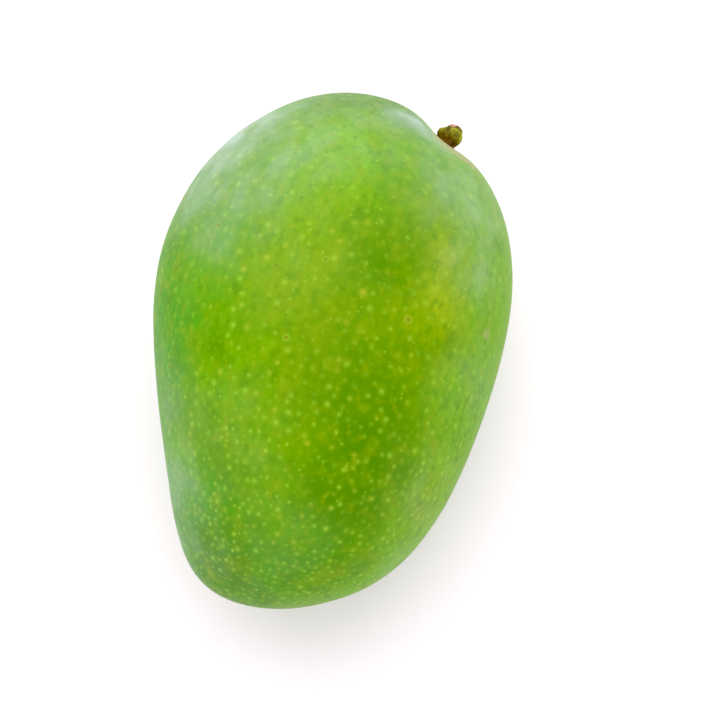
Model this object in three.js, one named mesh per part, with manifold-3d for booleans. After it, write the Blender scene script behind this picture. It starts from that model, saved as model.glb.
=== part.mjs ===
// A green mango lying on one of its two broad cheeks, with the stub of its stem.
// Millimetres, +Z up. +Y runs along the fruit's long axis towards the stem end, and +X is to the
// right of someone who looks down on it with the stem end away from them.
// The origin is on the surface that it lies on, below the middle of its box.
//
// Two solids: the fruit, and the stem stub that is rooted in it.

import * as THREE from "three";
import { mergeVertices } from "three/addons/utils/BufferGeometryUtils.js";
import Module from "manifold-3d";

const wasm = await Module();
wasm.setup();

// The fruit's driving sizes.
const HALF_WIDTH = 40.4; // across the cheeks, at the fruit's middle
const HALF_LENGTH = 60.5; // from the middle to either end
const HALF_THICKNESS = 34.0; // from the stone's plane to the crown of a cheek
const WIDTH_TAPER = 0.147; // share by which it is wider at the stem end and narrower at the beak
const THICKNESS_TAPER = 0.08; // the same for its thickness
const CHEEK_FULLNESS = 0.06; // share by which a cheek's flanks stand out from an ellipse
const SPINE_BEND = [9.6, 5.7, -10.3]; // sideways bend of its long axis, for height ^2, ^3 and ^4
const SHOULDER_LEAN = -9.1; // how far the left shoulder stands above the middle, and the right below
const CREST = [1.6, -3.3]; // where the cheeks' crowns lie, which puts the foot below its balance point
const FOOT_DEPTH = 0.5; // how far the cheek that it lies on is pressed flat

// The hollow that the stem stands in, with its ring of brown cork.
const STEM_CLOCK = THREE.MathUtils.degToRad(75.7); // its place on the outline, from +X towards +Y
const STEM_LEAN = THREE.MathUtils.degToRad(-12); // how far the stem leans from +Y towards +X
const HOLLOW_DEPTH = 2.8;
const HOLLOW_RADIUS = 8.2;
const CORK_RADIUS = 3.9;
const CORK_WIDTH = 1.1;
const CORK_HEIGHT = 0.7;
const CORK_LUMPS = 7;
const CORK_LUMP_DEPTH = 0.35; // share of the ring's height

// The stem stub: radius and height above the hollow's floor, from its root to its torn tip.
const STEM_PROFILE = [
  [0, -3.0],
  [1.8, -3.0],
  [2.15, -1.5],
  [2.3, 0.0],
  [2.25, 1.0],
  [2.3, 1.8],
  [2.5, 2.5],
  [2.75, 3.2],
  [2.7, 3.9],
  [2.4, 4.6],
  [2.0, 5.3],
  [1.75, 5.9],
  [1.3, 6.3],
  [0.7, 6.1],
  [0, 6.0],
];
const STEM_SIDES = 30;
const STEM_RIBS = 5;
const STEM_RIB_DEPTH = 0.06; // share of the radius
const STEM_LOBE = 0.14; // share by which its knob swells out on the left
const STEM_LOBE_HEIGHT = 3.4;
const STEM_LOBE_SPAN = 1.2;
const STEM_CROOK = 0.7; // how far its tip is bent aside
const STEM_GAP = 0.3; // clearance between the stub and the fruit

// The fruit's mesh: a ball of triangles, drawn closer together near the stem.
const MESH_DETAIL = 17;
const MESH_GATHER = 0.8;

const materials = {
  skin: new THREE.MeshStandardMaterial({ color: 0x7aab2e, roughness: 0.42, metalness: 0 }),
  stem: new THREE.MeshStandardMaterial({ color: 0x7d7a1c, roughness: 0.8, metalness: 0 }),
};

const stemDirection = new THREE.Vector3(Math.cos(STEM_CLOCK), Math.sin(STEM_CLOCK), 0);

// The smooth body without its hollow: an ellipsoid, tapered, bent and sheared.
// c, s and h are a direction's parts across, along and above the fruit's middle.
function body({ x: c, y: s, z: h }) {
  const [bend2, bend3, bend4] = SPINE_BEND;
  const spine = bend2 * s ** 2 + bend3 * s ** 3 + bend4 * s ** 4;
  return new THREE.Vector3(
    HALF_WIDTH * c * (1 + WIDTH_TAPER * s) + spine + CREST[0] * h ** 2,
    HALF_LENGTH * s + SHOULDER_LEAN * c + CREST[1] * h ** 2,
    HALF_THICKNESS * h * (1 + THICKNESS_TAPER * s) * (1 + CHEEK_FULLNESS * (1 - h ** 2)),
  );
}

const stemSite = body(stemDirection);

// The outward normal of the body at the stem, from a small step along the surface and one up it.
function normalAtStem() {
  const step = 0.01;
  const along = new THREE.Vector3(Math.cos(STEM_CLOCK + step), Math.sin(STEM_CLOCK + step), 0);
  const above = stemDirection.clone().setZ(step).normalize();
  return body(along).sub(stemSite).cross(body(above).sub(stemSite)).normalize();
}

const stemNormal = normalAtStem();

// The fruit's surface: the body, pressed in round the stem, with the cork ring raised in the hollow.
function fruitSurface(direction) {
  const point = body(direction);
  const offset = point.clone().sub(stemSite);
  const distance = offset.length();
  const hollow = HOLLOW_DEPTH * Math.exp(-((distance / HOLLOW_RADIUS) ** 2));
  const turn = Math.atan2(offset.z, offset.x);
  const lump = 1 - CORK_LUMP_DEPTH * Math.sin((CORK_LUMPS * turn) / 2) ** 2;
  const cork = CORK_HEIGHT * lump * Math.exp(-(((distance - CORK_RADIUS) / CORK_WIDTH) ** 2));
  return point.addScaledVector(stemNormal, cork - hollow);
}

// Moves a direction towards the stem's, so that those near it lie closer together.
function gathered(direction) {
  const angle = direction.angleTo(stemDirection);
  const across = direction.clone().addScaledVector(stemDirection, -direction.dot(stemDirection));
  const nearer = angle - MESH_GATHER * Math.sin(angle) * Math.cos(angle / 2) ** 2;
  return across
    .normalize()
    .multiplyScalar(Math.sin(nearer))
    .addScaledVector(stemDirection, Math.cos(nearer));
}

function fruitGeometry() {
  const geometry = new THREE.IcosahedronGeometry(1, MESH_DETAIL);
  const position = geometry.getAttribute("position");
  const direction = new THREE.Vector3();
  for (let i = 0; i < position.count; i++) {
    direction.fromBufferAttribute(position, i).normalize();
    const point = fruitSurface(gathered(direction));
    position.setXYZ(i, point.x, point.y, point.z);
  }
  return geometry;
}

// The stub along +Y from the hollow's floor, its radius larger by grow for cutting its socket.
function stemGeometry(grow) {
  const root = STEM_PROFILE[0][1];
  const tip = STEM_PROFILE[STEM_PROFILE.length - 1][1];
  const profile = STEM_PROFILE.map(([radius, height]) =>
    new THREE.Vector2(radius && radius + grow, height === root ? height - grow : height),
  );
  const geometry = new THREE.LatheGeometry(profile, STEM_SIDES);
  const position = geometry.getAttribute("position");
  for (let i = 0; i < position.count; i++) {
    const [x, y, z] = [position.getX(i), position.getY(i), position.getZ(i)];
    const turn = Math.atan2(z, x);
    const rib = STEM_RIB_DEPTH * Math.cos(STEM_RIBS * turn);
    const nearLobe = Math.exp(-(((y - STEM_LOBE_HEIGHT) / STEM_LOBE_SPAN) ** 2));
    const lobe = STEM_LOBE * nearLobe * Math.sin(turn / 2) ** 4;
    const swell = 1 + rib + lobe;
    const crook = STEM_CROOK * (Math.max(y, 0) / tip) ** 2;
    position.setXYZ(i, x * swell + crook, y, z * swell);
  }
  return geometry;
}

// A closed geometry, moved by matrix, as a solid for cutting.
function solid(geometry, matrix = new THREE.Matrix4()) {
  const bare = geometry.clone().applyMatrix4(matrix);
  bare.deleteAttribute("normal");
  bare.deleteAttribute("uv");
  const merged = mergeVertices(bare, 1e-3);
  return new wasm.Manifold(
    new wasm.Mesh({
      numProp: 3,
      vertProperties: new Float32Array(merged.getAttribute("position").array),
      triVerts: new Uint32Array(merged.index.array),
    }),
  );
}

function geometryOf(manifold) {
  const { vertProperties, triVerts } = manifold.getMesh();
  const geometry = new THREE.BufferGeometry();
  geometry.setAttribute("position", new THREE.BufferAttribute(vertProperties, 3));
  geometry.setIndex(new THREE.BufferAttribute(triVerts, 1));
  geometry.computeVertexNormals();
  return geometry;
}

const hollowFloor = stemSite.clone().addScaledVector(stemNormal, -HOLLOW_DEPTH);
const stemPlace = new THREE.Matrix4().makeRotationZ(STEM_LEAN).setPosition(hollowFloor);

// The fruit with its foot pressed flat and the stub's socket cut.
function makeFruit() {
  const below = new THREE.BoxGeometry(4 * HALF_WIDTH, 4 * HALF_LENGTH, HALF_THICKNESS);
  const footHeight = body(new THREE.Vector3(0, 0, -1)).z + FOOT_DEPTH;
  const cut = new THREE.Matrix4().makeTranslation(0, 0, footHeight - HALF_THICKNESS / 2);
  const made = solid(fruitGeometry())
    .subtract(solid(below, cut))
    .subtract(solid(stemGeometry(STEM_GAP), stemPlace));
  const mesh = new THREE.Mesh(geometryOf(made), materials.skin);
  mesh.name = "fruit";
  return mesh;
}

function makeStem() {
  const mesh = new THREE.Mesh(stemGeometry(0), materials.stem);
  mesh.applyMatrix4(stemPlace);
  mesh.name = "stem";
  return mesh;
}

// Both stand on the origin's plane, with the middle of their box above the origin.
const mango = new THREE.Group();
mango.add(makeFruit(), makeStem());
const box = new THREE.Box3().setFromObject(mango, true);
mango.position.set(-(box.min.x + box.max.x) / 2, -(box.min.y + box.max.y) / 2, -box.min.z);

export default mango;
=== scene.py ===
"""A green mango lying on one of its cheeks, with the stub of its stem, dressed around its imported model.

Lengths are in metres, in the model's own frame: +Y runs along the fruit towards its stem end, +Z up
through the cheek that faces up, and the fruit lies on z = 0. The skin follows the same formula as
the solid, as one closed mesh whose points are drawn together at each lenticel and round the stem.
"""

import math

import bpy
import numpy as np
from mathutils import Matrix, Vector, noise
from mathutils.geometry import delaunay_2d_cdt
from mathutils.kdtree import KDTree


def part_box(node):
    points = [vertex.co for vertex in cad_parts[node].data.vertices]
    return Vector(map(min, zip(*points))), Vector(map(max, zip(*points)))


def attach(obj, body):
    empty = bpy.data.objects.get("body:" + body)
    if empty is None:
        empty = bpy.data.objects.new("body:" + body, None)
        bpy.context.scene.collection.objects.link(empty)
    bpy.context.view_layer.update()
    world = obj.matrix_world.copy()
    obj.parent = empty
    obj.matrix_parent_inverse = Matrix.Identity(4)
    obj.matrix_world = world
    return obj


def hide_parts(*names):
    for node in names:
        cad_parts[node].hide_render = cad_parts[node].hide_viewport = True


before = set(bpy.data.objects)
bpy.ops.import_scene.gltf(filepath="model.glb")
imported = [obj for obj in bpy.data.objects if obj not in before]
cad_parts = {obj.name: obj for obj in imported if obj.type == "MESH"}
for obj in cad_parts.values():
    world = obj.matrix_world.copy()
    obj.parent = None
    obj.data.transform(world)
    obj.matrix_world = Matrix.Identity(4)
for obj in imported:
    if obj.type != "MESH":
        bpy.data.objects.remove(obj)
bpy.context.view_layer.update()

MM = 0.001
SEED = 7

# The fruit's form, as in its solid.
HALF_WIDTH = 40.4 * MM
HALF_LENGTH = 60.5 * MM
HALF_THICKNESS = 34.0 * MM
WIDTH_TAPER = 0.147
THICKNESS_TAPER = 0.08
CHEEK_FULLNESS = 0.06
SPINE_BEND = (9.6 * MM, 5.7 * MM, -10.3 * MM)
SHOULDER_LEAN = -9.1 * MM
CREST = (1.6 * MM, -3.3 * MM)
FOOT_DEPTH = 0.5 * MM
FOOT_ROUNDING = 0.06 * MM

# The hollow round the stem. Its lip dips towards the cheek that faces up.
STEM_CLOCK = math.radians(75.7)
STEM_LEAN = math.radians(-12)
STEM_WAY = np.array([math.cos(STEM_CLOCK), math.sin(STEM_CLOCK), 0.0])
HOLLOW_DEPTH = 2.8 * MM
HOLLOW_RADIUS = 8.2 * MM
LIP_OFFSET = np.array([-1.0, -3.0, 11.0]) * MM
LIP_DEPTH = 1.4 * MM
LIP_REACH = 6.5 * MM

# The ring of cork in the hollow. Its noises are the size of their lumps and how far they push.
CORK_RADIUS = 3.7 * MM
CORK_WIDTH = 1.15 * MM
CORK_HEIGHT = 0.6 * MM
CORK_WANDER = (3 * MM, 0.5 * MM)
CORK_CRUMB = (0.9 * MM, 0.35 * MM)
CORK_LIMIT = 3 * HOLLOW_RADIUS

# The skin's slow swells, by size and height, and its mesh.
SWELLS = ((26 * MM, 0.30 * MM), (9 * MM, 0.07 * MM))
BASE_POINTS = 34000
GATHER = 0.7
TANGENT_STEP = 1e-4
SAME_POINT = 1e-12

# Lenticels: the skin's pale dots. Each of the first four pairs runs from the beak end to the stem end.
LENTICEL_GAP = (1.3 * MM, 2.7 * MM)
LENTICEL_RADIUS = (0.44 * MM, 0.8 * MM)
LENTICEL_STRENGTH = (1.0, 0.5)
LENTICEL_FADE = (1.2, 2.8)
LENTICEL_TRIES = 60000
LENTICEL_RELIEF = 0.025 * MM
LENTICEL_FREE = 6.5 * MM
FADE_RANGE = (0.2, 1.0)
GAP_JITTER = (0.75, 1.5)
RADIUS_JITTER = (0.7, 1.3)
WARM_SHARE = 0.3
WARM_MIDDLE = (0.0, 0.1, 1.0)
WARM_REACH = 0.75
# A few lenticels are brown scabs or dark specks instead.
SCAB_SHARE = 0.0015
SCAB_RADIUS = 0.5 * MM
SCAB_JITTER = (0.85, 1.15)
SCAB_RELIEF = 1.5
SPECK_SHARE = 0.004
SPECK_RADIUS = 0.3 * MM
SPECK_JITTER = (0.8, 1.2)
# Rings of points round a lenticel: reach as a share of its radius, points, paleness, brownness.
PLAIN_RINGS = ((0.0, 1, 1.0, 0.0), (0.55, 6, 0.72, 0.0), (1.1, 8, 0.2, 0.0), (1.8, 8, 0.0, 0.0))
SPECK_RINGS = ((0.0, 1, 0.0, 1.0), (0.6, 5, 0.0, 0.7), (1.3, 7, 0.0, 0.0))
SCAB_RINGS = ((0.0, 1, 0.1, 1.0), (0.6, 6, 0.4, 0.7), (1.2, 10, 1.0, 0.1), (2.2, 12, 0.0, 0.0))
RING_JITTER = (0.9, 1.1)
# How many radii round a lenticel are kept free of other points.
PLAIN_CLEARING = 2.05
SCAB_CLEARING = 2.5
# Lenticels with a brown scab on the upper cheek, in mm from the point below the fruit's middle:
# across, along, above.
SCAB_PLACES = (
    (-10.6, 7.7, 66.3),
    (-0.9, 11.7, 67.2),
    (-26.4, 14.7, 59.4),
    (-4.1, -7.8, 66.8),
    (20.1, 3.0, 64.1),
)
# Small dark specks, likewise.
SPECK_PLACES = (
    (-2.6, 42.2, 59.3),
    (20.3, 22.3, 61.8),
    (13.4, 12.4, 66.2),
    (24.0, 27.8, 59.0),
)

# Patches of colour in the skin, with painted sheen among the bloom patches and painted shade among the
# deep ones: across, along, above and reach in mm, and strength.
YELLOW_PATCHES = (
    (21.5, 21.1, 61.6, 8, 0.5),
    (23.8, 12.2, 61.8, 8, 0.6),
    (26.0, 3.6, 61.0, 8, 0.55),
    (29.7, -3.0, 58.1, 7, 0.2),
    (-4.3, 0.6, 67.3, 12, 0.13),
    (-13.2, 8.2, 65.6, 12, 0.1),
    (-3.5, 21.3, 65.9, 12, 0.2),
    (33.1, -30.3, 47.0, 9, 0.5),
    (-12.0, -20.0, 3.0, 16, 0.5),
    (20.0, 25.0, 4.0, 14, 0.4),
)
DEEP_PATCHES = (
    (12.6, 16.2, 65.5, 9, 1.0),
    (12.0, -6.0, 66.0, 9, 0.25),
    (13.0, -13.0, 65.7, 9, 0.4),
    (25.0, -2.0, 61.5, 7, 0.4),
    (17.5, -22.0, 63.0, 10, 0.5),
    (20.0, -29.0, 60.0, 12, 0.75),
    (21.0, -40.0, 54.0, 9, 0.2),
    (-14.0, 53.3, 48.0, 6, 0.6),
    (-13.0, 49.5, 52.3, 6, 0.3),
    (-7.5, 55.2, 48.4, 6, 0.6),
    (0.0, 55.5, 48.5, 5, 0.5),
    (12.0, -38.0, 59.0, 10, 0.35),
    (-4.2, -59.7, 40.2, 18, 0.8),
    # These two darken the top edge of the stem end: painted shade.
    (-5.0, 60.0, 42.0, 10, 0.6),
    (5.0, 59.0, 40.0, 8, 0.4),
    (4.5, 56.5, 47.5, 4, 0.7),
    (10.5, 53.5, 49.0, 4.5, 0.7),
    (7.0, 52.0, 52.0, 4, 0.6),
    (20.0, -48.0, 49.0, 9, 0.6),
    (-8.0, -53.0, 47.5, 7, 0.35),
    (29.0, -33.0, 51.0, 6, 0.25),
    (15.0, -15.0, 2.0, 18, 0.5),
    (-20.0, 20.0, 8.0, 15, 0.4),
)
FRESH_PATCHES = (
    (-17.5, 28.6, 61.2, 12, 0.35),
    (-27.2, 12.3, 59.1, 10, 0.3),
    (-30.0, -8.0, 54.0, 11, 0.7),
    (-36.3, -1.5, 45.8, 12, 0.6),
    (1.0, -56.0, 45.0, 18, 0.7),
    (-14.0, -46.0, 50.0, 12, 0.5),
    (16.0, -50.0, 50.0, 12, 0.7),
    (13.0, 45.0, 55.5, 9, 0.4),
    (6.0, 30.0, 63.0, 12, 0.25),
    (-20.0, 4.0, 62.5, 9, 0.35),
)
LIME_PATCHES = (
    (2.5, -32.0, 62.3, 9, 0.5),
    (-12.0, -10.0, 64.5, 9, 0.4),
    (-8.0, -25.0, 62.5, 10, 0.4),
    (4.0, -47.0, 56.0, 10, 0.4),
    (-5.0, 39.0, 60.5, 14, 0.9),
    (28.0, -40.0, 45.0, 9, 0.3),
    (22.0, -50.0, 40.0, 7, 0.3),
    (-19.0, -20.0, 59.5, 8, 0.35),
    (24.0, 40.5, 51.5, 10, 0.5),
    (-10.0, 15.0, 66.0, 16, 0.35),
    (-27.5, 2.0, 58.0, 7, 0.5),
    (32.0, -8.5, 55.0, 8, 0.5),
    (-21.0, -36.0, 48.0, 7, 0.5),
    (36.3, 15.0, 48.0, 18, 0.5),
    (33.1, -30.3, 47.0, 12, 0.8),
    (-15.0, -20.0, 10.0, 20, 0.5),
)
# Bloom patches: partly the skin's pale wax bloom and partly painted sheen along the fruit's edges.
BLOOM_AND_SHEEN_PATCHES = (
    (-31.0, 42.7, 41.8, 16, 0.52),
    (-34.1, 25.0, 50.8, 10, 0.2),
    (-26.0, -46.0, 36.0, 9, 0.22),
    (-18.0, -57.0, 34.0, 8, 0.2),
    (28.0, -42.0, 38.0, 7, 0.08),
    (8.0, 53.6, 49.6, 7, 0.3),
    (11.9, 52.2, 49.7, 4, 0.25),
    (5.0, 55.5, 49.0, 4, 0.15),
    (14.5, 49.5, 51.5, 3, 0.25),
    (-3.4, 22.4, 65.7, 9, 0.015),
    (-13.2, 8.2, 65.6, 9, 0.025),
    (28.0, 38.9, 49.9, 12, 0.16),
    (8.0, 48.0, 55.0, 14, 0.05),
    (33.0, 19.0, 53.0, 6, 0.12),
    (-10.0, -28.0, 60.5, 10, 0.03),
    (3.0, -48.0, 55.0, 12, 0.035),
    (-28.2, -23.4, 46.5, 10, 0.1),
    (-21.0, -41.0, 45.0, 10, 0.14),
    (37.1, -1.6, 48.8, 9, 0.06),
    (33.1, -30.3, 47.0, 10, 0.06),
    (-6.3, 50.3, 53.6, 15, 0.02),
    (-3.3, 38.6, 60.9, 10, 0.03),
    (-4.5, 53.5, 51.0, 6, 0.1),
    (-13.0, -53.0, 43.5, 8, 0.07),
    (32.0, -8.5, 55.0, 8, 0.03),
    (-21.0, -36.0, 48.0, 8, 0.03),
    (-11.9, 39.2, 59.1, 10, 0.08),
    (-17.5, 28.6, 61.2, 9, 0.08),
    (-20.8, 21.9, 61.5, 8, 0.1),
    (-27.2, 12.3, 59.1, 8, 0.12),
    (22.7, 35.3, 56.5, 10, 0.12),
    (25.7, 17.3, 60.0, 7, 0.06),
    (5.0, -58.0, 42.0, 14, 0.025),
    (5.0, -10.0, 0.0, 20, 0.1),
)
# Pale brown scurf, where sap ran from the stem, and one smudge.
RUSSET_PATCHES = (
    (17.0, 54.0, 43.0, 4.5, 0.5),
    (15.5, 50.3, 47.6, 3.8, 0.6),
    (18.4, 49.4, 46.8, 3.8, 0.8),
    (21.3, 48.2, 46.6, 2.6, 0.6),
    (24.5, 46.8, 46.0, 2.2, 0.5),
    (27.5, 44.3, 45.5, 2.0, 0.3),
    (36.5, 9.1, 50.0, 2.0, 0.8),
)
# Each colour's patches, where its noise starts and how far the noise sways it.
COLOUR_FIELDS = {
    "yellow": (YELLOW_PATCHES, 11.0, 0.10),
    "deep": (DEEP_PATCHES, 23.0, 0.16),
    "fresh": (FRESH_PATCHES, 51.0, 0.12),
    "lime": (LIME_PATCHES, 63.0, 0.08),
    "bloom_and_sheen": (BLOOM_AND_SHEEN_PATCHES, 37.0, 0.012),
    "russet": (RUSSET_PATCHES, 71.0, 0.0),
}
# The noise is slow, with a share of a quicker one, which also makes the patches ragged.
FIELD_SIZES = (17 * MM, 6 * MM)
QUICK_SHARE = 0.4
RAGGEDNESS = 0.5
# The flanks turn fresh green on the left and lime green on the right.
FLANK_GAIN = 1.35
FLANK_POWER = 1.3
FLANK_FRESH = 0.9
FLANK_LIME = 0.8

# The stem stub above and below the hollow's floor: height and radius in mm.
STEM_PROFILE = (
    (-3.0, 1.8),
    (-1.5, 2.15),
    (0.0, 2.3),
    (1.0, 2.25),
    (1.8, 2.3),
    (2.5, 2.5),
    (3.2, 2.75),
    (3.9, 2.7),
    (4.6, 2.4),
    (5.3, 2.0),
    (5.9, 1.75),
    (6.3, 1.3),
)
# The torn tip's height halfway in from its rim, and at its middle.
STEM_TIP = (6.1 * MM, 6.0 * MM)
STEM_ROWS = 90
STEM_CAP_ROWS = 16
STEM_SIDES = 120
STEM_RIBS = 5
STEM_RIB_DEPTH = 0.06
STEM_LOBE = 0.14
STEM_LOBE_HEIGHT = 3.4 * MM
STEM_LOBE_SPAN = 1.2 * MM
STEM_CROOK = 0.7 * MM
# Its lumps and wrinkles, by size and depth, push out from its middle and fade at the hollow's floor.
STEM_LUMPS = ((2.2 * MM, 0.25 * MM), (0.8 * MM, 0.12 * MM), (0.3 * MM, 0.04 * MM))
STEM_LUMP_START = 5.0
STEM_WRINKLE = (0.75 * MM, 0.16 * MM)
STEM_WRINKLE_START = 9.0
STEM_WRINKLE_STRETCH = (1.0, 0.3, 1.0)
STEM_MIDDLE = np.array([0, 2.5, 0]) * MM
STEM_FADE = 1 * MM
# Where the torn tip is bare wood.
STEM_CAP = np.array([0.1, 6.2, 0.7]) * MM
STEM_CAP_REACH = 1.7 * MM

# The photograph's view: its frame, where the fruit's middle shows in it, and the camera.
PHOTO_SIDE = 720
MIDDLE_PIXEL = (318.1, 348.2)
PIXELS_PER_METRE = 4377.5
VIEW_AZIMUTH = math.radians(15)
VIEW_ELEVATION = math.radians(75)
VIEW_DISTANCE = 0.6
SENSOR = 36.0
NEAREST = 0.01

# The stage. The key light's place is measured from the fruit along the view's right, up and back.
FLOOR_HALF = 4.0
FLOOR_COLOUR = (0.9, 0.83, 0.9, 1.0)
FLOOR_GLOW_COLOUR = (1.0, 0.97, 1.0, 1.0)
FLOOR_GLOW = 0.15
KEY_PLACE = (-0.1, 0.8, 0.75)
KEY_WIDTH = 1.7
KEY_WATTS = 8.8
WORLD_COLOUR = (1.0, 1.0, 1.0, 1.0)
WORLD_STRENGTH = 1.0
BLACK_LEVEL = 0.016

# The Mix node's sockets for two colours and their mixture.
MIX_FIRST, MIX_SECOND, MIXED = 6, 7, 2


def unit(vectors):
    return vectors / np.linalg.norm(vectors, axis=1, keepdims=True)


def lerp(pair, share):
    return pair[0] + (pair[1] - pair[0]) * share


def bell(distance, reach):
    return np.exp(-((distance / reach) ** 2))


def colour(red, green, blue):
    """A colour given as the eight-bit values of a screen, as the linear values of a shader."""
    share = np.array([red, green, blue]) / 255
    linear = np.where(share > 0.04045, ((share + 0.055) / 1.055) ** 2.4, share / 12.92)
    return (*linear.tolist(), 1.0)


def rough(places, size, start=0.0):
    """Smooth noise between about -1 and 1 at each place, with swells of the given size."""
    scaled = places / size + start
    return np.array([noise.noise(Vector(p)) for p in scaled.tolist()])


# The fruit's form.


def body(directions):
    """The smooth fruit's surface, from its middle, towards each direction."""
    c, s, h = directions.T
    spine = SPINE_BEND[0] * s**2 + SPINE_BEND[1] * s**3 + SPINE_BEND[2] * s**4
    x = HALF_WIDTH * c * (1 + WIDTH_TAPER * s) + spine + CREST[0] * h**2
    y = HALF_LENGTH * s + SHOULDER_LEAN * c + CREST[1] * h**2
    z = HALF_THICKNESS * h * (1 + THICKNESS_TAPER * s) * (1 + CHEEK_FULLNESS * (1 - h**2))
    return np.column_stack([x, y, z])


def tangents(directions):
    """Two steps across each direction, and how far the surface runs for each of them."""
    first = unit(np.cross(directions, [0.0, 0.0, 1.0]))
    second = np.cross(directions, first)
    runs = []
    for step in (first, second):
        ahead = body(unit(directions + TANGENT_STEP * step))
        behind = body(unit(directions - TANGENT_STEP * step))
        runs.append((ahead - behind) / (2 * TANGENT_STEP))
    return first, second, runs[0], runs[1]


def normals_of(directions):
    _, _, run_1, run_2 = tangents(directions)
    normals = unit(np.cross(run_1, run_2))
    return normals * np.sign((normals * directions).sum(1))[:, None]


STEM_SITE = body(STEM_WAY[None])[0]
STEM_NORMAL = normals_of(STEM_WAY[None])[0]


def base_directions():
    """Even directions on a ball, drawn together towards the stem."""
    i = np.arange(BASE_POINTS) + 0.5
    height = 1 - 2 * i / BASE_POINTS
    turn = math.pi * (1 + math.sqrt(5)) * i
    flat = np.sqrt(1 - height**2)
    even = np.column_stack([flat * np.cos(turn), height, flat * np.sin(turn)])
    towards = even @ STEM_WAY
    angle = np.arccos(towards)
    across = unit(even - towards[:, None] * STEM_WAY)
    nearer = angle - GATHER * np.sin(angle) * np.cos(angle / 2) ** 2
    return across * np.sin(nearer)[:, None] + STEM_WAY * np.cos(nearer)[:, None]


def stem_end_share(places):
    """0 at the beak end, 1 at the stem end."""
    return np.clip(places[:, 1] / HALF_LENGTH / 2 + 0.5, 0, 1)


def tree_of(places):
    tree = KDTree(len(places))
    for i, place in enumerate(places):
        tree.insert(place, i)
    tree.balance()
    return tree


# The lenticels.


def nearest_directions(directions, targets):
    """The direction of the place that is nearest to each target.

    The targets are in mm from the point below the fruit's middle.
    """
    places = body(directions) + np.array([0, 0, HALF_THICKNESS - FOOT_DEPTH])
    apart = [np.linalg.norm(places - np.array(target) * MM, axis=1) for target in targets]
    return [directions[distance.argmin()] for distance in apart]


def lenticels(rng):
    """Directions of the lenticels, and which of them are scabs and which are specks.

    They are random, but none is closer to another than its gap. The known ones come first.
    """
    tries = unit(rng.normal(size=(LENTICEL_TRIES, 3)))
    known = nearest_directions(tries, SCAB_PLACES + SPECK_PLACES)
    tries = np.vstack([known, tries])
    places = body(tries)
    gaps = lerp(LENTICEL_GAP, stem_end_share(places)) * rng.uniform(*GAP_JITTER, len(tries))
    tree = tree_of(places)
    free = np.linalg.norm(places - STEM_SITE, axis=1) > LENTICEL_FREE
    kept = []
    for i in range(len(places)):
        if free[i]:
            kept.append(i)
            for _, j, _ in tree.find_range(places[i], gaps[i]):
                free[j] = False
    chance, order = rng.random(len(kept)), np.array(kept)
    scab = (chance < SCAB_SHARE) | (order < len(SCAB_PLACES))
    speck = (chance > 1 - SPECK_SHARE) | ((order >= len(SCAB_PLACES)) & (order < len(known)))
    return tries[kept], scab, speck


def lenticel_looks(rng, centres, scab, speck):
    """Each lenticel's radius, strength and warmth."""
    share = stem_end_share(body(centres))
    radii = lerp(LENTICEL_RADIUS, share) * rng.uniform(*RADIUS_JITTER, len(centres))
    radii[scab] = SCAB_RADIUS * rng.uniform(*SCAB_JITTER, scab.sum())
    radii[speck] = SPECK_RADIUS * rng.uniform(*SPECK_JITTER, speck.sum())
    fade = rng.random(len(centres)) ** lerp(LENTICEL_FADE, share)
    strength = lerp(LENTICEL_STRENGTH, share) * lerp(FADE_RANGE, fade)
    warmth = np.clip(rng.random(len(centres)) / WARM_SHARE, 0, 1)
    warmth = (1 - warmth) * bell(np.linalg.norm(centres - WARM_MIDDLE, axis=1), WARM_REACH)
    return radii, strength, warmth


def ring_points(rng, directions, radii, rings):
    """Directions of the points in the rings round each lenticel."""
    first, second, run_1, run_2 = tangents(directions)
    way_1 = unit(run_1)
    way_2 = unit(run_2 - (run_2 * way_1).sum(1, keepdims=True) * way_1)
    length_1 = np.linalg.norm(run_1, axis=1)
    shear = (run_2 * way_1).sum(1)
    length_2 = (run_2 * way_2).sum(1)
    turn = rng.uniform(0, 2 * math.pi, len(directions))
    found = []
    for reach, count, _, _ in rings:
        for k in range(count):
            jitter = rng.uniform(*RING_JITTER, len(directions))
            angle = turn + reach + 2 * math.pi * k / count
            u = radii * reach * jitter * np.cos(angle)
            v = radii * reach * jitter * np.sin(angle)
            step_2 = v / length_2
            step_1 = (u - step_2 * shear) / length_1
            found.append(unit(directions + step_1[:, None] * first + step_2[:, None] * second))
    return np.vstack(found)


def without_near(directions, centres, reaches):
    """The directions whose places lie outside each centre's reach."""
    tree = tree_of(body(directions))
    kept = np.ones(len(directions), bool)
    for centre, reach in zip(body(centres), reaches):
        for _, j, _ in tree.find_range(centre, reach):
            kept[j] = False
    return directions[kept]


def spot_values(tree, spots, rings, values):
    """Raises the points' paleness, warmth and brownness round each lenticel of one kind.

    Each spot is its place, radius, strength and warmth.
    """
    reaches, _, paleness, brownness = np.array(rings).T
    for place, radius, strength, warmth in spots:
        near = tree.find_range(place, radius * reaches[-1])
        at = [found[1] for found in near]
        share = np.array([found[2] for found in near]) / radius
        pale = strength * np.interp(share, reaches, paleness)
        brown = np.interp(share, reaches, brownness)
        for name, raised in (("lenticel", pale), ("warm", pale * warmth), ("scab", brown)):
            values[name][at] = np.maximum(values[name][at], raised)


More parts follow.
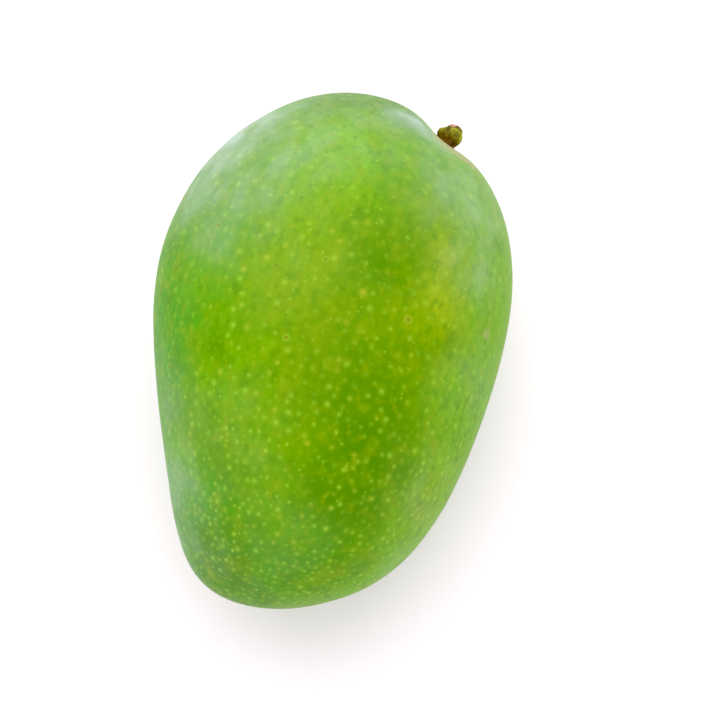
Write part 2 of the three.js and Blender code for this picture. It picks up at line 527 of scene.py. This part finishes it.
def skin_directions(rng):
    """Directions of the skin's points, and what the lenticels make of each."""
    centres, scab, speck = lenticels(rng)
    radii, strength, warmth = lenticel_looks(rng, centres, scab, speck)
    clearing = radii * np.where(scab, SCAB_CLEARING, PLAIN_CLEARING)
    base = without_near(base_directions(), centres, clearing)
    kinds = ((~scab & ~speck, PLAIN_RINGS), (scab, SCAB_RINGS), (speck, SPECK_RINGS))
    ringed = [ring_points(rng, centres[group], radii[group], rings) for group, rings in kinds]
    directions = np.vstack([*ringed, base])
    values = {name: np.zeros(len(directions)) for name in ("lenticel", "warm", "scab")}
    tree = tree_of(body(directions))
    for group, rings in kinds:
        spots = zip(body(centres[group]), radii[group], strength[group], warmth[group])
        spot_values(tree, spots, rings, values)
    return directions, values


# The skin.


def ball_faces(directions):
    """Triangles that join points on a ball.

    Seen from the last point, the others are spread out flat and joined there. A fan of triangles
    round the last point closes the ball.
    """
    pole = directions[-1]
    across = np.cross(pole, [1.0, 0.0, 0.0])
    across /= np.linalg.norm(across)
    along = np.cross(pole, across)
    others = directions[:-1]
    away = 1 - others @ pole
    flat = np.column_stack([others @ across / away, others @ along / away])
    made = delaunay_2d_cdt([Vector(p) for p in flat.tolist()], [], [], 0, SAME_POINT, True)
    source = np.array([merged[0] for merged in made[3]])
    faces = source[np.array(made[2])]
    edges = np.vstack([faces[:, [0, 1]], faces[:, [1, 2]], faces[:, [2, 0]]])
    codes = edges[:, 0] * len(directions) + edges[:, 1]
    back = edges[:, 1] * len(directions) + edges[:, 0]
    rim = edges[~np.isin(codes, back)]
    fan = np.column_stack([rim[:, 1], rim[:, 0], np.full(len(rim), len(directions) - 1)])
    return np.vstack([faces, fan])


def outward(points, faces):
    """The faces, turned round if they enclose their volume inside out."""
    a, b, c = (points[faces[:, k]] for k in range(3))
    volume = (a * np.cross(b, c)).sum()
    return faces if volume > 0 else faces[:, ::-1]


def hollow_push(smooth, offset):
    """How far the hollow and its cork push each point along the stem's normal, and how corky it is."""
    distance = np.linalg.norm(offset, axis=1)
    near = distance < CORK_LIMIT
    cork = np.zeros(len(smooth))
    wander = CORK_WANDER[1] * rough(smooth[near], CORK_WANDER[0])
    cork[near] = bell(distance[near] - CORK_RADIUS + wander, CORK_WIDTH)
    push = CORK_HEIGHT * cork - HOLLOW_DEPTH * bell(distance, HOLLOW_RADIUS)
    push[near] += CORK_CRUMB[1] * cork[near] * rough(smooth[near], CORK_CRUMB[0])
    return push, cork


def skin_points(directions, pale, brown):
    """The skin's points, how corky each is, and their normals before any relief."""
    smooth = body(directions)
    normals = normals_of(directions)
    relief = LENTICEL_RELIEF * (pale + SCAB_RELIEF * brown)
    for size, depth in SWELLS:
        relief = relief + depth * rough(smooth, size)
    offset = smooth - STEM_SITE
    relief -= LIP_DEPTH * bell(np.linalg.norm(offset - LIP_OFFSET, axis=1), LIP_REACH)
    push, cork = hollow_push(smooth, offset)
    points = smooth + relief[:, None] * normals + push[:, None] * STEM_NORMAL
    foot = FOOT_DEPTH - HALF_THICKNESS
    above = (points[:, 2] - foot) / FOOT_ROUNDING
    points[:, 2] = foot + FOOT_ROUNDING * np.logaddexp(0, above)
    return points, cork, normals


def field(places, patches, start, sway):
    """The sum of the patches at each place, swayed by noise."""
    total = np.zeros(len(places))
    for across, along, above, reach, strength in patches:
        centre = np.array([across, along, above]) * MM
        total += strength * bell(np.linalg.norm(places - centre, axis=1), reach * MM)
    slow, quick = (rough(places, size, start) for size in FIELD_SIZES)
    return np.clip(total * (1 + RAGGEDNESS * quick) + sway * (slow + QUICK_SHARE * quick), 0, 1)


def skin_colours(points, normals):
    """How much of each colour the skin has at each point."""
    flank = np.clip(FLANK_GAIN * (1 - np.abs(normals[:, 2])) ** FLANK_POWER, 0, 1)
    right = np.clip(0.5 + normals[:, 0], 0, 1)
    values = {name: field(points, *given) for name, given in COLOUR_FIELDS.items()}
    values["fresh"] = np.clip(FLANK_FRESH * flank * (1 - right) + values["fresh"], 0, 1)
    values["lime"] = np.clip(FLANK_LIME * flank * right + values["lime"], 0, 1)
    return values


def add_piece(name, points, faces, values, material):
    mesh = bpy.data.meshes.new(name)
    mesh.from_pydata(points.tolist(), [], faces.tolist())
    mesh.shade_smooth()
    for value, numbers in values.items():
        layer = mesh.attributes.new(value, "FLOAT", "POINT")
        layer.data.foreach_set("value", np.asarray(numbers, np.float32))
    mesh.materials.append(material)
    piece = bpy.data.objects.new(name, mesh)
    bpy.context.scene.collection.objects.link(piece)
    return piece


def fruit_shift(points):
    """From the fruit's middle to its place in the model."""
    low, high = (np.array(corner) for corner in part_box("fruit"))
    middle = (points.min(0) + points.max(0)) / 2
    shift = (low + high) / 2 - middle
    shift[2] = low[2] + HALF_THICKNESS - FOOT_DEPTH
    return shift


def make_skin(material):
    """The fruit's skin, and the shift from the fruit's middle to its place in the model."""
    directions, values = skin_directions(np.random.default_rng(SEED))
    points, cork, normals = skin_points(directions, values["lenticel"], values["scab"])
    shift = fruit_shift(points)
    points = points + shift
    values |= {"cork": cork} | skin_colours(points, normals)
    faces = outward(points, ball_faces(directions))
    return add_piece("mango_skin", points, faces, values, material), shift


# The stem stub.


def stem_sections():
    """Heights and radii of the stub's rings, up its side and in over its torn tip."""
    heights, radii = np.array(STEM_PROFILE).T * MM
    path = np.r_[0, np.hypot(np.diff(heights), np.diff(radii)).cumsum()]
    steps = np.linspace(0, path[-1], STEM_ROWS)
    side_heights = np.interp(steps, path, heights)
    side_radii = np.interp(steps, path, radii)
    inward = np.linspace(0, 1, STEM_CAP_ROWS + 2)[1:-1]
    cap_heights = np.interp(inward, [0, 0.5, 1], [heights[-1], *STEM_TIP])
    return np.r_[side_heights, cap_heights], np.r_[side_radii, radii[-1] * (1 - inward)]


def smooth_stem(heights, radii):
    """The stub along +Y from the hollow's floor, without its lumps: its rings, its root and its tip."""
    turn = np.tile(2 * math.pi * np.arange(STEM_SIDES) / STEM_SIDES, len(heights))
    height = np.repeat(heights, STEM_SIDES)
    swell = STEM_RIB_DEPTH * np.cos(STEM_RIBS * turn)
    swell += STEM_LOBE * bell(height - STEM_LOBE_HEIGHT, STEM_LOBE_SPAN) * np.sin(turn / 2) ** 4
    radius = np.repeat(radii, STEM_SIDES) * (1 + swell)
    crook = STEM_CROOK * (np.maximum(height, 0) / heights[-1]) ** 2
    rings = np.column_stack([radius * np.cos(turn) + crook, height, radius * np.sin(turn)])
    return np.vstack([rings, [0, heights[0], 0], [STEM_CROOK, heights[-1], 0]])


def stem_faces(rows):
    """Triangles between the stub's rings, and from its first and last ring to its root and tip."""
    pairs = [(side, (side + 1) % STEM_SIDES) for side in range(STEM_SIDES)]
    last = (rows - 1) * STEM_SIDES
    faces = []
    for first in range(0, last, STEM_SIDES):
        above = first + STEM_SIDES
        for a, b in pairs:
            faces += [(first + a, above + a, above + b), (first + a, above + b, first + b)]
    root = rows * STEM_SIDES
    tip = root + 1
    for a, b in pairs:
        faces += [(root, a, b), (tip, last + b, last + a)]
    return np.array(faces)


def make_stem(material, shift):
    heights, radii = stem_sections()
    points = smooth_stem(heights, radii)
    outwards = unit(points - STEM_MIDDLE)
    lumps = sum(depth * rough(points, size, STEM_LUMP_START) for size, depth in STEM_LUMPS)
    stretched = points * STEM_WRINKLE_STRETCH
    lumps = lumps + STEM_WRINKLE[1] * rough(stretched, STEM_WRINKLE[0], STEM_WRINKLE_START)
    above = np.clip(points[:, 1] / STEM_FADE, 0, 1)
    points = points + (lumps * above)[:, None] * outwards
    faces = outward(points - [0, heights[0], 0], stem_faces(len(heights)))
    cap = bell(np.linalg.norm(points - STEM_CAP, axis=1), STEM_CAP_REACH)
    values = {"height": points[:, 1] / heights.max(), "lump": lumps / STEM_LUMPS[0][1], "cap": cap}
    lean = np.array(Matrix.Rotation(STEM_LEAN, 3, "Z"))
    floor = STEM_SITE - HOLLOW_DEPTH * STEM_NORMAL + shift
    return add_piece("stem_stub", points @ lean.T + floor, faces, values, material)


# Materials.


class Shader:
    """A material and short calls for the nodes that it is made of."""

    def __init__(self, name, **sockets):
        self.material = bpy.data.materials.new(name)
        self.material.use_nodes = True
        self.tree = self.material.node_tree
        self.surface = self.tree.nodes["Principled BSDF"]
        for socket, value in sockets.items():
            self.surface.inputs[socket.replace("_", " ")].default_value = value
        self.place = self.tree.nodes.new("ShaderNodeTexCoord").outputs["Object"]

    def plug(self, value, socket):
        """Links a node's output to a socket, or sets the socket to a number or colour."""
        if isinstance(value, bpy.types.NodeSocket):
            self.tree.links.new(value, socket)
        else:
            socket.default_value = value

    def value(self, name):
        """One of the values that the mesh holds at its points."""
        node = self.tree.nodes.new("ShaderNodeAttribute")
        node.attribute_name = name
        return node.outputs["Fac"]

    def mapped(self, stretch=(1.0, 1.0, 1.0), offset=(0.0, 0.0, 0.0)):
        mapping = self.tree.nodes.new("ShaderNodeMapping")
        mapping.inputs["Scale"].default_value = stretch
        mapping.inputs["Location"].default_value = offset
        self.plug(self.place, mapping.inputs["Vector"])
        return mapping.outputs["Vector"]

    def spots(self, size, radius, share, offset=(0.0, 0.0, 0.0)):
        """Soft spots from 0 to 1 of varied strength, in a share of the cells of the given size."""
        node = self.tree.nodes.new("ShaderNodeTexVoronoi")
        self.plug(self.mapped(offset=offset), node.inputs["Vector"])
        node.inputs["Scale"].default_value = 1 / size
        parts = self.tree.nodes.new("ShaderNodeSeparateColor")
        self.plug(node.outputs["Color"], parts.inputs["Color"])
        near = self.span(node.outputs["Distance"], radius / size, 0.0)
        return self.math("MULTIPLY", near, self.span(parts.outputs["Red"], 1 - share, 1.0))

    def noise(self, size, detail=3.0, roughness=0.5, distortion=0.0, **mapped):
        """Noise from 0 to 1 with lumps of the given size."""
        node = self.tree.nodes.new("ShaderNodeTexNoise")
        self.plug(self.mapped(**mapped), node.inputs["Vector"])
        node.inputs["Scale"].default_value = 1 / size
        node.inputs["Detail"].default_value = detail
        node.inputs["Roughness"].default_value = roughness
        node.inputs["Distortion"].default_value = distortion
        return node.outputs["Fac"]

    def math(self, operation, *values):
        node = self.tree.nodes.new("ShaderNodeMath")
        node.operation = operation
        for value, socket in zip(values, node.inputs):
            self.plug(value, socket)
        return node.outputs["Value"]

    def span(self, value, low, high, to_low=0.0, to_high=1.0):
        """value, carried from the range low to high into the range to_low to to_high, and held there."""
        node = self.tree.nodes.new("ShaderNodeMapRange")
        node.interpolation_type = "SMOOTHSTEP"
        for number, socket in zip((value, low, high, to_low, to_high), node.inputs):
            self.plug(number, socket)
        return node.outputs["Result"]

    def swayed(self, value, noise, reach):
        """value, lowered where the noise is low and raised where it is high, each by up to reach."""
        return self.math("ADD", value, self.span(noise, 0.3, 0.7, -reach, reach))

    def mix(self, share, first, second):
        """The first colour, with a share of the second over it."""
        node = self.tree.nodes.new("ShaderNodeMix")
        node.data_type = "RGBA"
        self.plug(share, node.inputs["Factor"])
        self.plug(first, node.inputs[MIX_FIRST])
        self.plug(second, node.inputs[MIX_SECOND])
        return node.outputs[MIXED]

    def tinted(self, base, tints):
        """base under its tints.

        Each is a mask, the mask's values where the tint starts and where it is full, its strength
        when full, and its colour.
        """
        for mask, start, full, strength, tint in tints:
            base = self.mix(self.span(mask, start, full, 0.0, strength), base, tint)
        return base

    def bump(self, height, distance, under=None):
        node = self.tree.nodes.new("ShaderNodeBump")
        node.inputs["Distance"].default_value = distance
        self.plug(height, node.inputs["Height"])
        if under:
            self.plug(under, node.inputs["Normal"])
        return node.outputs["Normal"]

    def finish(self, base, roughness, normal):
        self.plug(base, self.surface.inputs["Base Color"])
        self.plug(roughness, self.surface.inputs["Roughness"])
        self.plug(normal, self.surface.inputs["Normal"])
        return self.material


def skin_greens(skin):
    """The skin's greens: its patches, and over them mottles, blotches and fine streaks."""
    base = colour(105, 142, 8)
    patches = (
        ("fresh", colour(72, 149, 14)),
        ("lime", colour(112, 170, 12)),
        ("yellow", colour(149, 171, 12)),
        ("deep", colour(78, 129, 6)),
    )
    for name, tint in patches:
        base = skin.mix(skin.value(name), base, tint)
    shade, olive = colour(84, 132, 8), colour(128, 154, 14)
    mottle = skin.noise(5 * MM, detail=2, distortion=0.4, stretch=(1.0, 0.7, 1.0))
    uneven = {"stretch": (1.0, 0.75, 1.0), "offset": (3.0, 1.0, 2.0)}
    blotch = skin.noise(1.8 * MM, detail=3, roughness=0.55, **uneven)
    streak = skin.noise(0.6 * MM, detail=2, stretch=(1.0, 0.12, 1.0))
    tints = (
        (mottle, 0.5, 0.75, 0.55, shade),
        (mottle, 0.5, 0.25, 0.5, olive),
        (blotch, 0.48, 0.75, 0.6, shade),
        (blotch, 0.52, 0.25, 0.55, olive),
        (streak, 0.4, 0.7, 0.15, shade),
    )
    return skin.tinted(base, tints)


def skin_dots(skin, base):
    """Brownish freckles, faint dots between the lenticels, and the lenticels, some of them warm."""
    freckles = skin.spots(2.3 * MM, 0.55 * MM, 0.7, offset=(0.5, 0.2, 0.1))
    freckled = skin.span(skin.value("fresh"), 0.2, 0.8, 0.42, 0.15)
    faint = skin.spots(1.9 * MM, 0.5 * MM, 0.8)
    pale = colour(168, 211, 62)
    dots = (
        (freckles, freckled, colour(158, 146, 22)),
        (faint, 0.4, pale),
        (skin.value("lenticel"), 0.58, pale),
        (skin.value("warm"), 0.85, colour(170, 150, 24)),
    )
    for mask, strength, tint in dots:
        base = skin.mix(skin.math("MULTIPLY", mask, strength), base, tint)
    return base


def skin_bloom_and_sheen(skin):
    """How thickly the wax bloom and the painted sheen along the edges lie, rubbed thin in places."""
    rubbed = skin.noise(5 * MM, detail=5, roughness=0.6, distortion=0.5, stretch=(1.0, 0.4, 1.0))
    return skin.math("MULTIPLY", skin.value("bloom_and_sheen"), skin.span(rubbed, 0.25, 0.7, 0.6, 1.3))


def skin_scurf(skin, base):
    """Pale brown scurf, ragged and cracked, with a darker crust on it."""
    cracks = skin.noise(2.4 * MM, detail=6, roughness=0.7, distortion=0.6)
    ragged = skin.span(skin.swayed(skin.value("russet"), cracks, 0.35), 0.25, 1.0)
    scurf = skin.math("MULTIPLY", ragged, skin.span(cracks, 0.3, 0.55, 0.3, 0.85))
    crust = skin.noise(0.5 * MM, detail=4, roughness=0.7, distortion=0.4)
    crusted = skin.span(crust, 0.45, 0.75)
    return skin.mix(scurf, base, skin.mix(crusted, colour(176, 168, 120), colour(118, 94, 56)))


def skin_material():
    skin = Shader("mango_skin", Specular_IOR_Level=0.1)
    bloom_and_sheen = skin_bloom_and_sheen(skin)
    # The pale wax colour over the greens is partly the skin's bloom and partly painted sheen.
    base = skin.mix(bloom_and_sheen, skin_dots(skin, skin_greens(skin)), colour(192, 207, 202))
    base = skin_scurf(skin, base)
    base = skin.mix(skin.math("MULTIPLY", skin.value("scab"), 0.55), base, colour(112, 98, 30))
    crumb = skin.noise(0.7 * MM, detail=4)
    cork = skin.span(skin.swayed(skin.value("cork"), crumb, 0.15), 0.3, 0.6)
    bark = skin.mix(skin.span(crumb, 0.42, 0.72), colour(58, 26, 10), colour(168, 118, 66))
    base = skin.mix(cork, base, bark)

    roughness = skin.span(bloom_and_sheen, 0.0, 0.4, 0.44, 0.6)
    grain = skin.noise(0.55 * MM, detail=2)
    pores = skin.bump(skin.math("MULTIPLY", grain, 0.12), 0.1 * MM)
    bark_height = skin.math("MULTIPLY", crumb, cork)
    return skin.finish(base, roughness, skin.bump(bark_height, 0.4 * MM, under=pores))


def stem_material():
    stem = Shader("stem_stub", Specular_IOR_Level=0.3)
    brown, dark = colour(104, 72, 14), colour(56, 36, 8)
    patch = stem.noise(1.3 * MM, detail=4, distortion=0.5)
    fibre = stem.noise(0.35 * MM, detail=3, stretch=(1.0, 0.3, 1.0))
    height, lump = stem.value("height"), stem.value("lump")
    torn = stem.swayed(stem.value("cap"), patch, 0.12)
    tints = (
        (lump, -0.2, 0.5, 1.0, colour(158, 162, 36)),
        (patch, 0.45, 0.68, 0.5, brown),
        (fibre, 0.5, 0.75, 0.35, brown),
        # Browner towards its base: partly the stub's own colour and partly painted shade where it meets
        # the skin.
        (height, 0.62, 0.3, 1.0, brown),
        (lump, -0.1, -0.8, 0.75, dark),
        (height, 0.8, 1.0, 0.6, brown),
        (torn, 0.15, 0.4, 0.75, dark),
        (torn, 0.45, 0.65, 1.0, colour(176, 136, 100)),
    )
    base = stem.tinted(colour(122, 120, 16), tints)
    grain = stem.math("ADD", fibre, patch)
    return stem.finish(base, roughness=0.75, normal=stem.bump(grain, 0.12 * MM))


# The stage, the light and the camera.


def floor_material():
    floor = Shader("floor", Roughness=0.9, Specular_IOR_Level=0.2, Emission_Strength=FLOOR_GLOW)
    floor.surface.inputs["Base Color"].default_value = FLOOR_COLOUR
    floor.surface.inputs["Emission Color"].default_value = FLOOR_GLOW_COLOUR
    return floor.material


def make_floor():
    half = FLOOR_HALF
    corners = [(-half, -half, 0), (half, -half, 0), (half, half, 0), (-half, half, 0)]
    mesh = bpy.data.meshes.new("floor")
    mesh.from_pydata(corners, [], [(0, 1, 2, 3)])
    mesh.materials.append(floor_material())
    floor = bpy.data.objects.new("floor", mesh)
    bpy.context.scene.collection.objects.link(floor)


def view_axes():
    """Right, up and back of the photograph's view."""
    cosine, sine = math.cos(VIEW_AZIMUTH), math.sin(VIEW_AZIMUTH)
    level = math.cos(VIEW_ELEVATION)
    back = Vector((sine * level, -cosine * level, math.sin(VIEW_ELEVATION)))
    right = Vector((cosine, sine, 0))
    return right, back.cross(right), back


def make_key_light(aim):
    """One round, soft light above the fruit."""
    right, up, back = view_axes()
    data = bpy.data.lights.new("key", "AREA")
    data.shape = "DISK"
    data.size = KEY_WIDTH
    data.energy = KEY_WATTS
    light = bpy.data.objects.new("key", data)
    bpy.context.scene.collection.objects.link(light)
    way = right * KEY_PLACE[0] + up * KEY_PLACE[1] + back * KEY_PLACE[2]
    light.location = aim + way
    light.rotation_euler = way.to_track_quat("Z", "Y").to_euler()


def make_world():
    world = bpy.data.worlds.new("studio")
    world.use_nodes = True
    background = world.node_tree.nodes["Background"]
    background.inputs["Color"].default_value = WORLD_COLOUR
    background.inputs["Strength"].default_value = WORLD_STRENGTH
    bpy.context.scene.world = world


def make_camera(aim):
    """The photograph's view, moved sideways until the fruit's middle shows at its pixel."""
    right, up, back = view_axes()
    aside = (PHOTO_SIDE / 2 - MIDDLE_PIXEL[0]) / PIXELS_PER_METRE
    above = (MIDDLE_PIXEL[1] - PHOTO_SIDE / 2) / PIXELS_PER_METRE
    data = bpy.data.cameras.new("camera")
    data.sensor_width = SENSOR
    data.lens = SENSOR * VIEW_DISTANCE * PIXELS_PER_METRE / PHOTO_SIDE
    data.clip_start = NEAREST
    camera = bpy.data.objects.new("camera", data)
    bpy.context.scene.collection.objects.link(camera)
    place = Matrix((right, up, back)).transposed().to_4x4()
    place.translation = aim + back * VIEW_DISTANCE + right * aside + up * above
    camera.matrix_world = place
    bpy.context.scene.camera = camera


def set_picture():
    """Plain colours, with the darkest ones deepened a little."""
    settings = bpy.context.scene.view_settings
    settings.use_curve_mapping = True
    settings.curve_mapping.black_level = (BLACK_LEVEL, BLACK_LEVEL, BLACK_LEVEL)
    settings.curve_mapping.update()
    settings.view_transform = "Standard"


skin, shift = make_skin(skin_material())
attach(skin, "root")
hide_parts("fruit")

stem = make_stem(stem_material(), shift)
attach(stem, "root")
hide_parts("stem")

fruit_middle = Vector(shift)
make_camera(fruit_middle)
make_floor()
make_key_light(fruit_middle)
make_world()
set_picture()
